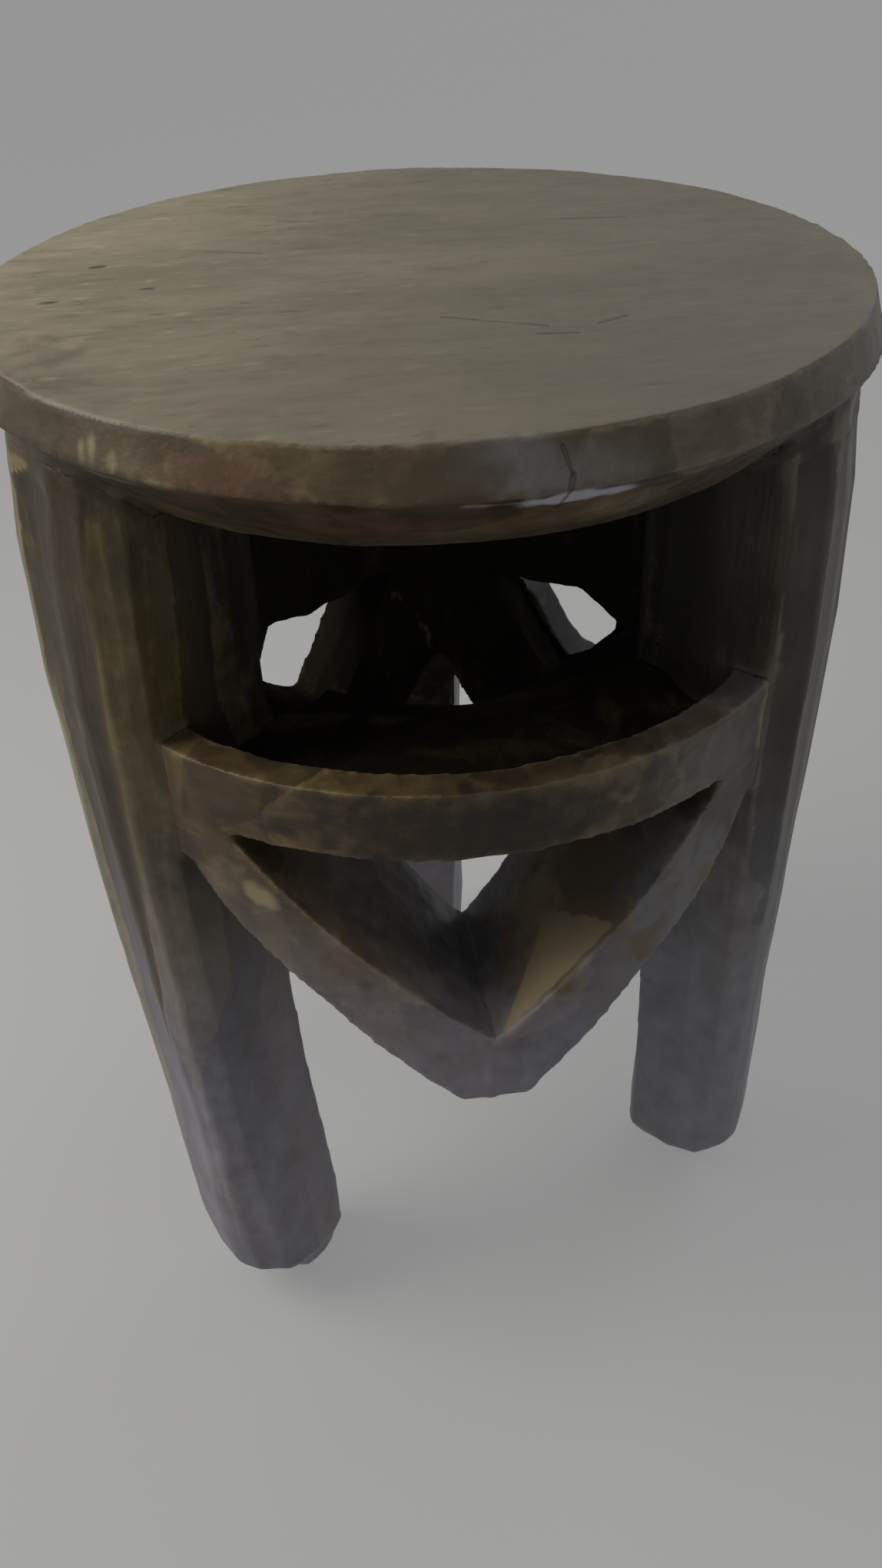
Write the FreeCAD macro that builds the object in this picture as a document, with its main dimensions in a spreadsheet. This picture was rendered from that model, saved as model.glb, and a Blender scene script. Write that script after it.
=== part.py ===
"""Three-legged carved stool, cut from one block and divided here into its carved members.

Millimetres, +Z up, origin on the floor under the centre of the seat. The front bay looks along -Y.
"""
import FreeCAD, Part
import os
import Sketcher

doc = FreeCAD.newDocument("CarvedStool")
UP = FreeCAD.Vector(0, 0, 1)

# Driving sizes: alias, value in millimetres or degrees, what it is
SIZES = [
    ("seat_height", 432.0, "floor to seat top"),
    ("seat_radius", 150.0, "top edge of the seat"),
    ("rim_flare", 4.5, "how far the foot of the rim stands out past the top edge"),
    ("rim_drop", 15.0, "seat top down to the widest point"),
    ("bevel_width", 27.5, "foot of the rim in to the flat underside"),
    ("seat_thickness", 41.0, "seat top down to the flat underside"),
    ("leg_overhang", 4.0, "how far a leg at its fullest stands out past the seat's top edge"),
    ("leg_width", 66.0, "across the outside of a leg at its fullest"),
    ("leg_facet", 13.0, "tool facet on the outer corners of a leg"),
    ("leg_depth", 66.0, "outer face to inner face of a leg, beside the window"),
    ("leg_inner_width", 42.0, "across a leg's inner face"),
    ("post_depth", 57.0, "outer face to inner face of a leg, below the baskets"),
    ("foot_lean", 20.0, "how far a front foot stands to one side of its leg's top"),
    ("fin_width", 30.0, "across a rib, a strut or the hub's arms near the axis"),
    ("hub_radius", 18.0, "post under the centre of the seat"),
    ("hub_drop", 125.0, "seat top down to the foot of the hub"),
    ("window_drop", 100.0, "seat top down to the head of a window"),
    ("window_inner_radius", 28.0, "axis to a window's inner corner, at its head"),
    ("sill_drop", 150.0, "seat top down to a window's sill, at its inner end"),
    ("sill_radius", 58.0, "axis to the inner end of a window's sill"),
    ("sill_rise", 16.5, "how far the sill climbs to the leg's inner face"),
    ("arch_drop", 122.0, "seat top down to where the struts' undersides would meet"),
    ("core_radius", 62.0, "open core between the three baskets"),
    ("root_drop", 222.0, "seat top down to a strut's underside, at the core"),
    ("root_slope_drop", 17.5, "how much lower that underside is at the leg's inner face"),
    ("band_set_back", 12.0, "a leg's outer face in to the outer face of the bands"),
    ("band_depth", 14.0, "flat top of a rim band, inwards"),
    ("band_drop", 117.0, "seat top down to the top of a rim band"),
    ("band_height", 27.0, "top to bottom of a rim band"),
    ("shelf_drop", 135.0, "seat top down to the shelf behind a rim band"),
    ("side_shelf_radius", 75.0, "axis to the inner edge of the two side shelves"),
    ("basket_drop", 261.0, "seat top down to a basket's flat lowest point"),
    ("basket_flat", 26.0, "width of that flat, at the band's outer face"),
    ("basket_bend_drop", 213.0, "seat top down to the bend in a basket's lower edge"),
    ("basket_bend", 63.0, "middle of the bay out to that bend, in the plane that touches the band"),
    ("basket_end_drop", 163.0, "seat top down to a basket's lower edge where it meets the leg"),
    ("basket_end", 142.0, "middle of the bay out to that end, in the same plane"),
    ("mouth_drop", 227.0, "seat top down to the low corner of the three-cornered mouth"),
    ("mouth_half", 98.0, "middle of the bay out to the mouth's upper corners, in the same plane"),
    ("throat_drop", 240.0, "the same low corner inside the core"),
    ("throat_half", 64.0, "middle out to the upper corners inside the core"),
    ("rear_wall_radius", 122.0, "axis to the inner face of the two thin walls beside the back leg"),
    ("low_wall_drop", 216.0, "seat top down to the top of the low wall, right of the back leg, at its bend"),
    ("low_wall_end_drop", 195.0, "the same where it meets the back leg"),
    ("low_wall_height", 33.0, "top to bottom of the low wall"),
    ("overrun", 20.0, "how far a cutting shape runs past what it cuts"),
]
sheet = doc.addObject("Spreadsheet::Sheet", "Sizes")
for row, (alias, value, note) in enumerate(SIZES, start=1):
    sheet.set(f"A{row}", str(value))
    sheet.setAlias(f"A{row}", alias)
    sheet.set(f"B{row}", note)
doc.recompute()

# Radii that follow from the driving sizes
RIM_RADIUS = "(Sizes.seat_radius + Sizes.rim_flare)"
LEG_REACH = "(Sizes.seat_radius + Sizes.leg_overhang)"
LEG_INNER = f"({LEG_REACH} - Sizes.leg_depth)"
LEG_HEART = f"({LEG_REACH} - Sizes.post_depth / 2)"
BAND_RADIUS = f"({LEG_REACH} - Sizes.band_set_back)"
BAND_INNER = f"({BAND_RADIUS} - Sizes.band_depth)"

LEG_COUNT = 3
TURN_ANGLE = 360.0 / LEG_COUNT
# Which way each leg points, in degrees from +X, and how far each bay is turned from the front one
LEG_ANGLES = {"left": 210.0, "right": 330.0, "back": 90.0}
BAY_ANGLES = {"front": 0.0, "right": TURN_ANGLE, "left": 2 * TURN_ANGLE}
# The two front legs were carved leaning the same way; the back leg stands straight
LEAN_SHARES = {"left": 1.0, "right": 1.0, "back": 0.0}

# A leg's sections from under the seat down to the floor. The shares are of the seat height, of the
# depth that the outer face is cut back, of the width, of the lean, of the depth of the inner face
# and of its width.
LEG_SECTION_SHARES = [
    # height, cut back, width, lean, inner depth, inner width
    (0.975, 0.135, 0.96, 0.00, ("leg_depth", 1.0), 1.00),
    (0.864, 0.027, 1.00, 0.00, ("leg_depth", 1.0), 1.00),
    (0.750, 0.000, 1.00, 0.00, ("leg_depth", 1.0), 1.00),
    (0.545, 0.027, 0.97, 0.05, ("leg_depth", 1.0), 1.00),
    (0.405, 0.059, 0.93, 0.22, ("post_depth", 1.0), 1.00),
    (0.227, 0.095, 0.87, 0.62, ("post_depth", 1.0), 1.00),
    (0.114, 0.135, 0.82, 0.86, ("post_depth", 1.03), 0.98),
    (0.055, 0.195, 0.74, 0.96, ("post_depth", 1.02), 0.92),
    (0.017, 0.310, 0.60, 1.00, ("post_depth", 0.92), 0.74),
    (0.000, 0.460, 0.42, 1.00, ("post_depth", 0.78), 0.50),
]
# Where the facets on a leg's outer corners turn: shares of the facet inwards and sideways
FACET_TURN_SHARES = [(1.10, 0.0), (0.30, 0.60), (0.0, 1.50)]


def size(alias):
    """The cell of one driving size, as an expression."""
    return f"Sizes.{alias}"


def below_top(alias):
    """Height of something that is measured down from the seat top."""
    return f"Sizes.seat_height - Sizes.{alias}"


# The shelves and bands share a flat underside, which is the roof of the baskets
BASKET_ROOF = f"{below_top('band_drop')} - Sizes.band_height"


def outline(name, corners, placement=None, rise=None):
    """A closed sketch whose corners are bound to expressions; rise binds the height of its plane."""
    sketch = doc.addObject("Sketcher::SketchObject", name)
    if placement:
        sketch.Placement = placement
    if rise:
        sketch.setExpression(".Placement.Base.z", rise)
    count = len(corners)
    start = [FreeCAD.Vector(*(sheet_value(part) for part in corner), 0) for corner in corners]
    for index in range(count):
        sketch.addGeometry(Part.LineSegment(start[index], start[(index + 1) % count]), False)
    for index in range(count):
        sketch.addConstraint(Sketcher.Constraint("Coincident", index, 2, (index + 1) % count, 1))
    for index, corner in enumerate(corners):
        for kind, expression, value in zip(("DistanceX", "DistanceY"), corner, start[index]):
            number = sketch.addConstraint(Sketcher.Constraint(kind, -1, 1, index, 1, value))
            sketch.setExpression(f"Constraints[{number}]", expression)
    return sketch


def sheet_value(expression):
    """What an expression on the sheet comes to now."""
    value = sheet.evalExpression(expression)
    return float(getattr(value, "Value", value))


def upright():
    """Stands a sketch up: its X stays, and its Y becomes the height."""
    return FreeCAD.Placement(FreeCAD.Vector(), FreeCAD.Rotation(FreeCAD.Vector(1, 0, 0), 90))


def turned(angle):
    return FreeCAD.Placement(FreeCAD.Vector(), FreeCAD.Rotation(UP, angle))


def revolved(name, sketch):
    body = doc.addObject("Part::Revolution", name)
    body.Source = sketch
    body.Axis = UP
    body.Base = FreeCAD.Vector()
    body.Angle = 360
    body.Solid = True
    return body


def extruded(name, sketch, direction, length, back=None):
    """Runs an outline along a direction by an expression, and back the other way by another."""
    body = doc.addObject("Part::Extrusion", name)
    body.Base = sketch
    body.DirMode = "Custom"
    body.Dir = direction
    body.Solid = True
    body.setExpression("LengthFwd", length)
    if back:
        body.setExpression("LengthRev", back)
    return body


def cylinder(name, radius, top, bottom, angle=360.0, start=0.0):
    """A disc or a sector between two heights, all given as expressions."""
    body = doc.addObject("Part::Cylinder", name)
    body.Angle = angle
    body.Placement = turned(start)
    body.setExpression("Radius", radius)
    body.setExpression("Height", f"({top}) - ({bottom})")
    body.setExpression(".Placement.Base.z", bottom)
    return body


def fused(name, pieces):
    body = doc.addObject("Part::MultiFuse", name)
    body.Shapes = pieces
    return body


def cut(name, base, tool, angle=0.0):
    body = doc.addObject("Part::Cut", name)
    body.Base = base
    body.Tool = tool
    body.Placement = turned(angle)
    return body


def common(name, pieces, angle=0.0):
    body = doc.addObject("Part::MultiCommon", name)
    body.Shapes = pieces
    body.Placement = turned(angle)
    return body


def make_seat():
    """Round seat: flat top, slightly flared rim and a bevel down to a flat underside."""
    corners = [
        ("0", size("seat_height")),
        (size("seat_radius"), size("seat_height")),
        (RIM_RADIUS, below_top("rim_drop")),
        (f"{RIM_RADIUS} - Sizes.bevel_width", below_top("seat_thickness")),
        ("0", below_top("seat_thickness")),
    ]
    return revolved("seat", outline("seat_outline", corners, upright()))


def leg_section(side, number, shares):
    """One eight-cornered section of a leg that points along +X."""
    height, cut_back, width, lean, (depth_alias, inner_share), inner_width = shares
    reach = f"{LEG_REACH} - {cut_back} * Sizes.post_depth"
    half = f"{width / 2} * Sizes.leg_width"
    inner = f"{LEG_REACH} - {inner_share} * Sizes.{depth_alias}"
    inner_half = f"{inner_width / 2} * Sizes.leg_inner_width"
    facet = f"{width} * Sizes.leg_facet"
    middle = f"{lean * LEAN_SHARES[side]} * Sizes.foot_lean"
    corners = [(inner, f"{middle} - {inner_half}")]
    for inward, sideways in FACET_TURN_SHARES:
        corners.append((f"{reach} - {inward} * {facet}", f"{middle} - {half} + {sideways} * {facet}"))
    for inward, sideways in reversed(FACET_TURN_SHARES):
        corners.append((f"{reach} - {inward} * {facet}", f"{middle} + {half} - {sideways} * {facet}"))
    corners.append((inner, f"{middle} + {inner_half}"))
    return outline(f"{side}_leg_section_{number}", corners, rise=f"{height} * Sizes.seat_height")


def make_legs(seat):
    """The three legs: faceted posts from the seat's bevel to a rounded foot, trimmed by the seat."""
    legs = {}
    for side, angle in LEG_ANGLES.items():
        post = doc.addObject("Part::Loft", f"{side}_leg_blank")
        post.Sections = [leg_section(side, *shares) for shares in enumerate(LEG_SECTION_SHARES)]
        post.Solid = True
        post.Ruled = True
        legs[side] = cut(f"{side}_leg", post, seat, angle)
    return legs


def make_fin_plan():
    """The slab that a leg's rib, strut and root are cut from, widening from the axis to the leg."""
    out_half = "Sizes.leg_inner_width / 2"
    half = "Sizes.fin_width / 2"
    corners = [
        ("0", f"-{half}"),
        (size("core_radius"), f"-{half}"),
        (LEG_INNER, f"-{out_half}"),
        (LEG_HEART, f"-{out_half}"),
        (LEG_HEART, out_half),
        (LEG_INNER, out_half),
        (size("core_radius"), half),
        ("0", half),
    ]
    return extruded("fin_plan", outline("fin_outline", corners), UP, size("seat_height"))


def make_hub():
    """Short post under the middle of the seat, where the three ribs and struts come together."""
    return cylinder("centre_hub", size("hub_radius"), below_top("seat_thickness"), below_top("hub_drop"))


def upright_slab(name, corners):
    """An upright outline in the plane of a leg, thickened past the slab that it is cut from."""
    side = FreeCAD.Vector(0, -1, 0)
    half = "Sizes.leg_inner_width"
    return extruded(name, outline(f"{name}_outline", corners, upright()), side, half, half)


def make_ribs(fin_plan, hub, legs):
    """Ribs under the seat: each runs from the hub to its leg, over the window."""
    corners = [
        ("0", below_top("window_drop")),
        (LEG_HEART, below_top("window_drop")),
        (LEG_HEART, below_top("seat_thickness")),
        ("0", below_top("seat_thickness")),
    ]
    blank = common("rib_blank", [fin_plan, upright_slab("rib_side", corners)])
    return trimmed_by_legs("rib", cut("rib_off_hub", blank, hub), legs)


def turned_copy(name, source, angle):
    """The same feature again, turned about the axis."""
    body = doc.addObject("Part::Compound", name)
    body.Links = [source]
    body.Placement = turned(angle)
    return body


def trimmed_by_legs(name, source, legs):
    """One copy of a piece for each leg, ending where that leg begins."""
    return {
        side: cut(f"{side}_{name}", turned_copy(f"{side}_{name}_blank", source, angle), legs[side])
        for side, angle in LEG_ANGLES.items()
    }


def make_struts(fin_plan, hub, legs):
    """Struts: from the hub down and out beside the window, ending in a root against the leg."""
    corners = [
        ("0", below_top("window_drop")),
        (size("window_inner_radius"), below_top("window_drop")),
        (size("sill_radius"), below_top("sill_drop")),
        (LEG_INNER, f"{below_top('sill_drop')} + Sizes.sill_rise"),
        (LEG_HEART, f"{below_top('sill_drop')} + Sizes.sill_rise"),
        (LEG_HEART, f"{below_top('root_drop')} - Sizes.root_slope_drop"),
        (LEG_INNER, f"{below_top('root_drop')} - Sizes.root_slope_drop"),
        (size("core_radius"), below_top("root_drop")),
        ("0", below_top("arch_drop")),
    ]
    blank = common("strut_blank", [fin_plan, upright_slab("strut_side", corners)])
    return trimmed_by_legs("strut", cut("strut_off_hub", blank, hub), legs)


def bay_sector(name, radius, top, bottom):
    """A third of a disc, between the middles of the two front legs."""
    return cylinder(name, radius, top, bottom, TURN_ANGLE, LEG_ANGLES["left"])


def for_each_bay(name, blanks, posts):
    """One copy of a piece for each bay, ending where the legs and fins beside it begin."""
    return {
        bay: cut(f"{bay}_{name}", turned_copy(f"{bay}_{name}_blank", blanks[bay], angle), posts)
        for bay, angle in BAY_ANGLES.items()
    }


def make_rim_bands(posts):
    """Rim bands: the curved bands between the legs, with a narrow flat top."""
    top = below_top("band_drop")
    bottom = BASKET_ROOF
    outer = bay_sector("band_outer", BAND_RADIUS, top, bottom)
    inner = cylinder("band_inner", BAND_INNER, f"{top} + Sizes.overrun", f"{bottom} - Sizes.overrun")
    ring = cut("band_ring", outer, inner)
    return for_each_bay("rim_band", dict.fromkeys(BAY_ANGLES, ring), posts)


def make_shelves(posts):
    """Shelves: the floor of each upper chamber, behind its rim band; the side ones are narrower."""
    top = below_top("shelf_drop")
    bottom = BASKET_ROOF
    disc = bay_sector("shelf_disc", BAND_INNER, top, bottom)
    rings = {}
    for kind, radius in (("front", "core_radius"), ("side", "side_shelf_radius")):
        hole = cylinder(f"{kind}_hole", size(radius), f"{top} + Sizes.overrun", f"{bottom} - Sizes.overrun")
        rings[kind] = cut(f"{kind}_shelf_ring", disc, hole)
    blanks = {"front": rings["front"], "right": rings["side"], "left": rings["side"]}
    return for_each_bay("shelf", blanks, posts)


def tapering(name, far_name, far_corners, near_name, near_corners):
    """A solid between two upright outlines, one outside the band and one inside the core."""
    far = outline(far_name, far_corners, upright())
    far.setExpression(".Placement.Base.y", f"-({BAND_RADIUS} + Sizes.overrun)")
    near = outline(near_name, near_corners, upright())
    near.setExpression(".Placement.Base.y", "-(Sizes.core_radius - Sizes.overrun)")
    body = doc.addObject("Part::Loft", name)
    body.Sections = [far, near]
    body.Solid = True
    body.Ruled = True
    return body


def make_tunnel():
    """The three-cornered tunnel through a basket, from its outer face to the core."""
    ends = [
        [
            (f"-Sizes.{name}_half", BASKET_ROOF),
            ("0", below_top(f"{name}_drop")),
            (f"Sizes.{name}_half", BASKET_ROOF),
        ]
        for name in ("mouth", "throat")
    ]
    return tapering("tunnel", "mouth_outline", ends[0], "throat_outline", ends[1])


def basket_half(name, sign, corners):
    """Half of a basket, with its corners in the plane that touches the band, cut towards the axis."""
    ends = [
        [(f"{sign}{across} * {scale}", drop) for across, drop in corners]
        for scale in (
            f"({BAND_RADIUS} + Sizes.overrun) / {BAND_RADIUS}",
            f"(Sizes.core_radius - Sizes.overrun) / {BAND_RADIUS}",
        )
    ]
    half = tapering(f"{name}_half", f"{name}_far", ends[0], f"{name}_near", ends[1])
    disc = bay_sector(f"{name}_disc", BAND_RADIUS, BASKET_ROOF, below_top("basket_drop"))
    return common(f"{name}_block", [disc, half])


def make_baskets(posts):
    """Baskets: two sloping walls a bay, meeting low in its middle; the two by the back leg are thin."""
    underside = [
        ("2 * Sizes.basket_end", below_top("basket_end_drop")),
        ("Sizes.basket_end", below_top("basket_end_drop")),
        ("Sizes.basket_bend", below_top("basket_bend_drop")),
        ("Sizes.basket_flat / 2", below_top("basket_drop")),
        ("0", below_top("basket_drop")),
    ]
    deep = [("0", BASKET_ROOF), ("2 * Sizes.basket_end", BASKET_ROOF)] + underside
    low = [
        ("0", below_top("mouth_drop")),
        ("Sizes.basket_bend", below_top("low_wall_drop")),
        ("Sizes.basket_end", below_top("low_wall_end_drop")),
        ("2 * Sizes.basket_end", below_top("low_wall_end_drop")),
        ("2 * Sizes.basket_end", f"{below_top('low_wall_end_drop')} - Sizes.low_wall_height"),
        ("Sizes.basket_end", f"{below_top('low_wall_end_drop')} - Sizes.low_wall_height"),
        ("Sizes.basket_bend", f"{below_top('low_wall_drop')} - Sizes.low_wall_height"),
    ] + underside[-2:]
    bottom = f"{below_top('basket_drop')} - Sizes.overrun"
    core = cylinder("basket_core", size("core_radius"), BASKET_ROOF, bottom)
    rear_core = cylinder("rear_core", size("rear_wall_radius"), BASKET_ROOF, bottom)
    deep_tools = fused("deep_wall_tools", [core, make_tunnel()])
    left_wall = cut("left_wall", basket_half("left_wall", "-", deep), deep_tools)
    right_wall = cut("right_wall", basket_half("right_wall", "", deep), deep_tools)
    thin_wall = cut("thin_wall", left_wall, rear_core)
    low_wall = cut("low_wall", basket_half("low_wall", "", low), rear_core)
    left_walls = {"front": left_wall, "right": left_wall, "left": thin_wall}
    right_walls = {"front": right_wall, "right": low_wall, "left": right_wall}
    walls = {}
    for side, blanks in (("left", left_walls), ("right", right_walls)):
        for bay, wall in for_each_bay(f"basket_{side}_wall", blanks, posts).items():
            walls[f"{bay}_basket_{side}_wall"] = wall
    return walls


seat = make_seat()
legs = make_legs(seat)
hub = make_hub()
fin_plan = make_fin_plan()
ribs = make_ribs(fin_plan, hub, legs)
struts = make_struts(fin_plan, hub, legs)
# What stands between the bays, which the bands, shelves and baskets run up to
fins = [turned_copy(f"{side}_fin", fin_plan, angle) for side, angle in LEG_ANGLES.items()]
posts = fused("posts", [*legs.values(), *fins])
rim_bands = make_rim_bands(posts)
shelves = make_shelves(posts)
baskets = make_baskets(posts)

nodes = {"seat": seat, "centre_hub": hub}
nodes.update({f"{side}_leg": piece for side, piece in legs.items()})
nodes.update({f"{side}_rib": piece for side, piece in ribs.items()})
nodes.update({f"{side}_strut": piece for side, piece in struts.items()})
nodes.update({f"{bay}_rim_band": piece for bay, piece in rim_bands.items()})
nodes.update({f"{bay}_shelf": piece for bay, piece in shelves.items()})
nodes.update(baskets)

for name, piece in nodes.items():
    piece.Label = name
doc.recompute()

for item in doc.Objects:
    if "Invalid" in item.State or "Error" in item.State:
        raise RuntimeError(f"{item.Name} did not build: {item.State}")
for name, piece in nodes.items():
    if piece.Shape.isNull() or not piece.Shape.isValid() or piece.Shape.Volume <= 0:
        raise RuntimeError(f"{name} has no sound shape")

os.makedirs("parts", exist_ok=True)
for name, piece in nodes.items():
    piece.Shape.exportStep(os.path.join("parts", f"{name}.step"))
    print(name, len(piece.Shape.Solids), "solid", round(piece.Shape.Volume / 1000, 1), "cm3")
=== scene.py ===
import math

import bpy
import numpy as np
from mathutils import Matrix, Vector
from mathutils.bvhtree import BVHTree


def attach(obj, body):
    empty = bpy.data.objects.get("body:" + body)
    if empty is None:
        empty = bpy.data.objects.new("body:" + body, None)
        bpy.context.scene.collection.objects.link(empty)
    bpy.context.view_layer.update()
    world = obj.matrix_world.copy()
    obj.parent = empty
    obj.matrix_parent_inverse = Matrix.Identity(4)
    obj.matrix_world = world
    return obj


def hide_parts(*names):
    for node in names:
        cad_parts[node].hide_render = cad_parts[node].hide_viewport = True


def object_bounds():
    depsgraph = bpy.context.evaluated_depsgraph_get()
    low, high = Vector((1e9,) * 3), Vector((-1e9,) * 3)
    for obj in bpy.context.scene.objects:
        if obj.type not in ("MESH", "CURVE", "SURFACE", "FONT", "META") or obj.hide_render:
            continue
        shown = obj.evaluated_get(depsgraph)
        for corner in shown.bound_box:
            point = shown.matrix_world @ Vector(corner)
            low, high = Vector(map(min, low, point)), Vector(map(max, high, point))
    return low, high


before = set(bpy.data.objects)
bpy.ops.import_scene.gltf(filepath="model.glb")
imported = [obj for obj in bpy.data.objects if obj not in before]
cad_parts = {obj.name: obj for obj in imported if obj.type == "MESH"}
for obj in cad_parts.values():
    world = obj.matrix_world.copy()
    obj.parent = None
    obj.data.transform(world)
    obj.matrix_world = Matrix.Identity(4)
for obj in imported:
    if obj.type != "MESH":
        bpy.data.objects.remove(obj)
cad_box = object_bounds()
bpy.ops.object.select_all(action="DESELECT")
MM = 0.001


# The view: a person stands close in front of the stool and looks down on it, a little from
# the left. The frame is tall, and its long side is the one that the sensor's width is for.
EYE = Vector((-0.0550, -0.4561, 0.5597))
HEADING = math.radians(7)
LOOK_DOWN = 0.64687
TILT = 0.03664
LENS, SENSOR = 30.14, 36
forward = Vector((math.sin(HEADING) * math.cos(LOOK_DOWN),
                  math.cos(HEADING) * math.cos(LOOK_DOWN), -math.sin(LOOK_DOWN)))
level = Vector((math.cos(HEADING), -math.sin(HEADING), 0))
down = forward.cross(level)
picture_right = math.cos(TILT) * level + math.sin(TILT) * down
picture_up = math.sin(TILT) * level - math.cos(TILT) * down
camera = bpy.data.objects.new("camera", bpy.data.cameras.new("camera"))
camera.data.lens = LENS
camera.data.sensor_width = SENSOR
camera.matrix_world = Matrix.Translation(EYE) @ Matrix(
    (picture_right, picture_up, -forward)).transposed().to_4x4()
bpy.context.scene.collection.objects.link(camera)
bpy.context.scene.camera = camera
bpy.context.scene.view_settings.view_transform = "Standard"


def tone(red, green, blue):
    """A colour as a picture shows it, from 0 to 255, as Blender's own linear colour."""
    shares = [part / 255 for part in (red, green, blue)]
    return tuple(part / 12.92 if part < 0.04045 else ((part + 0.055) / 1.055) ** 2.4
                 for part in shares) + (1,)


# The floor: a wide sheet of plain pale paper, which runs on behind the stool, with a room
# of the same paper round it. To the eye the paper is evenly bright, and still takes a shadow.
PAPER = tone(166, 166, 166)
PAPER_GLOW = tone(163, 163, 163)
GLOW_SHARE = 0.6


def looked_at(tree):
    """1 where a ray sees this shader straight on or by reflection, and 0 where it only
    gathers light."""
    rays = tree.nodes.new("ShaderNodeLightPath")
    total = rays.outputs["Is Camera Ray"]
    for kind in ("Is Glossy Ray", "Is Transmission Ray"):
        more = tree.nodes.new("ShaderNodeMath")
        more.use_clamp = True
        tree.links.new(total, more.inputs[0])
        tree.links.new(rays.outputs[kind], more.inputs[1])
        total = more.outputs[0]
    return total


bpy.ops.mesh.primitive_plane_add(size=24)
floor = bpy.context.object
floor.name = "paper_floor"
paper = bpy.data.materials.new("paper")
paper.use_nodes = True
floor.data.materials.append(paper)
sheet = paper.node_tree.nodes["Principled BSDF"]
sheet.inputs["Base Color"].default_value = PAPER
sheet.inputs["Roughness"].default_value = 0.9
sheet.inputs["Specular IOR Level"].default_value = 0.1
glow = paper.node_tree.nodes.new("ShaderNodeEmission")
glow.inputs["Color"].default_value = PAPER_GLOW
glow_part = paper.node_tree.nodes.new("ShaderNodeMath")
glow_part.operation = "MULTIPLY"
glow_part.inputs[1].default_value = GLOW_SHARE
both = paper.node_tree.nodes.new("ShaderNodeMixShader")
for start, end in ((looked_at(paper.node_tree), glow_part.inputs[0]),
                   (glow_part.outputs[0], both.inputs[0]),
                   (sheet.outputs[0], both.inputs[1]),
                   (glow.outputs[0], both.inputs[2]),
                   (both.outputs[0], paper.node_tree.nodes["Material Output"].inputs[0])):
    paper.node_tree.links.new(start, end)

# The light: an overcast room, with a wide window high on the left, a smaller one behind on
# the right, a pale ceiling, and a little light through a doorway in front.
world = bpy.data.worlds.new("room")
bpy.context.scene.world = world
world.use_nodes = True
air = world.node_tree.nodes
air["Background"].inputs["Color"].default_value = (1.0, 0.985, 0.95, 1)
air["Background"].inputs["Strength"].default_value = 0.26
walls = air.new("ShaderNodeBackground")
walls.inputs["Color"].default_value = PAPER
seen = air.new("ShaderNodeMixShader")
for start, end in ((looked_at(world.node_tree), seen.inputs[0]),
                   (air["Background"].outputs[0], seen.inputs[1]),
                   (walls.outputs[0], seen.inputs[2]),
                   (seen.outputs[0], air["World Output"].inputs[0])):
    world.node_tree.links.new(start, end)
# Each light that comes from far off: its direction, its width in degrees, strength and hue.
FAR_LIGHTS = {
    "right_window": ((0.9, 0.7, 0.6), 35, 0.60, (0.95, 0.97, 1.0)),
    "ceiling": ((0.0, 0.25, 1.0), 80, 0.62, (1.0, 1.0, 1.0)),
    "doorway": ((0.32, -0.95, 0.14), 10, 0.16, (0.96, 0.97, 1.0)),
}
for name, (direction, width, strength, hue) in FAR_LIGHTS.items():
    lamp = bpy.data.objects.new(name, bpy.data.lights.new(name, "SUN"))
    lamp.data.angle = math.radians(width)
    lamp.data.energy = strength
    lamp.data.color = hue
    lamp.rotation_euler = Vector(direction).to_track_quat("Z", "Y").to_euler()
    bpy.context.scene.collection.objects.link(lamp)
window = bpy.data.objects.new("left_window", bpy.data.lights.new("left_window", "AREA"))
window.data.size = 0.6
window.data.energy = 10.8
window.data.color = (1.0, 0.965, 0.89)
window.location = (-0.80, 0.02, 0.93)
STOOL_MIDDLE = Vector((0, 0, 0.3))
facing = Vector(window.location) - STOOL_MIDDLE
window.rotation_euler = facing.to_track_quat("Z", "Y").to_euler()
bpy.context.scene.collection.objects.link(window)


# The block: the whole stool is hewn from one log, so its skin runs on from member to member
# with no seams. That skin is made once from all the solids, and each member takes its own
# stretch of it, closed behind by a wall that lies hidden in the wood of its neighbours.

# FINE is how far apart the mesh's points lie, and SWELL how much each member is fattened, so
# that no slit shows between two. A point within SKIN of the skin goes onto it, and the
# tool's marks die away over FADE beyond that.
FINE = 1.5 * MM
SWELL = 0.35 * MM
SKIN = 3.6 * MM
FADE = 3.0 * MM


def fine_mesh(name, nodes, rounds):
    """One finely meshed solid from copies of the frame's solids, its corners knocked off."""
    bpy.ops.object.select_all(action="DESELECT")
    for node in nodes:
        copy = bpy.data.objects.new(name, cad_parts[node].data.copy())
        bpy.context.scene.collection.objects.link(copy)
        copy.select_set(True)
        bpy.context.view_layer.objects.active = copy
    if len(nodes) > 1:
        bpy.ops.object.join()
    made = bpy.context.object
    made.name = made.data.name = name
    bpy.ops.object.mode_set(mode="EDIT")
    bpy.ops.mesh.select_all(action="SELECT")
    bpy.ops.mesh.remove_doubles(threshold=0.01 * MM)
    bpy.ops.object.mode_set(mode="OBJECT")
    remesh = made.modifiers.new("fine mesh", "REMESH")
    remesh.mode = "VOXEL"
    remesh.voxel_size = FINE
    corners = made.modifiers.new("knocked corners", "SMOOTH")
    corners.iterations = rounds
    for modifier in ("fine mesh", "knocked corners"):
        bpy.ops.object.modifier_apply(modifier=modifier)
    bpy.ops.object.shade_smooth()
    made.data.materials.clear()
    return made


def points_of(piece):
    """The piece's points, as rows of three numbers in metres."""
    points = np.empty(len(piece.data.vertices) * 3)
    piece.data.vertices.foreach_get("co", points)
    return points.reshape(-1, 3)


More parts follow.
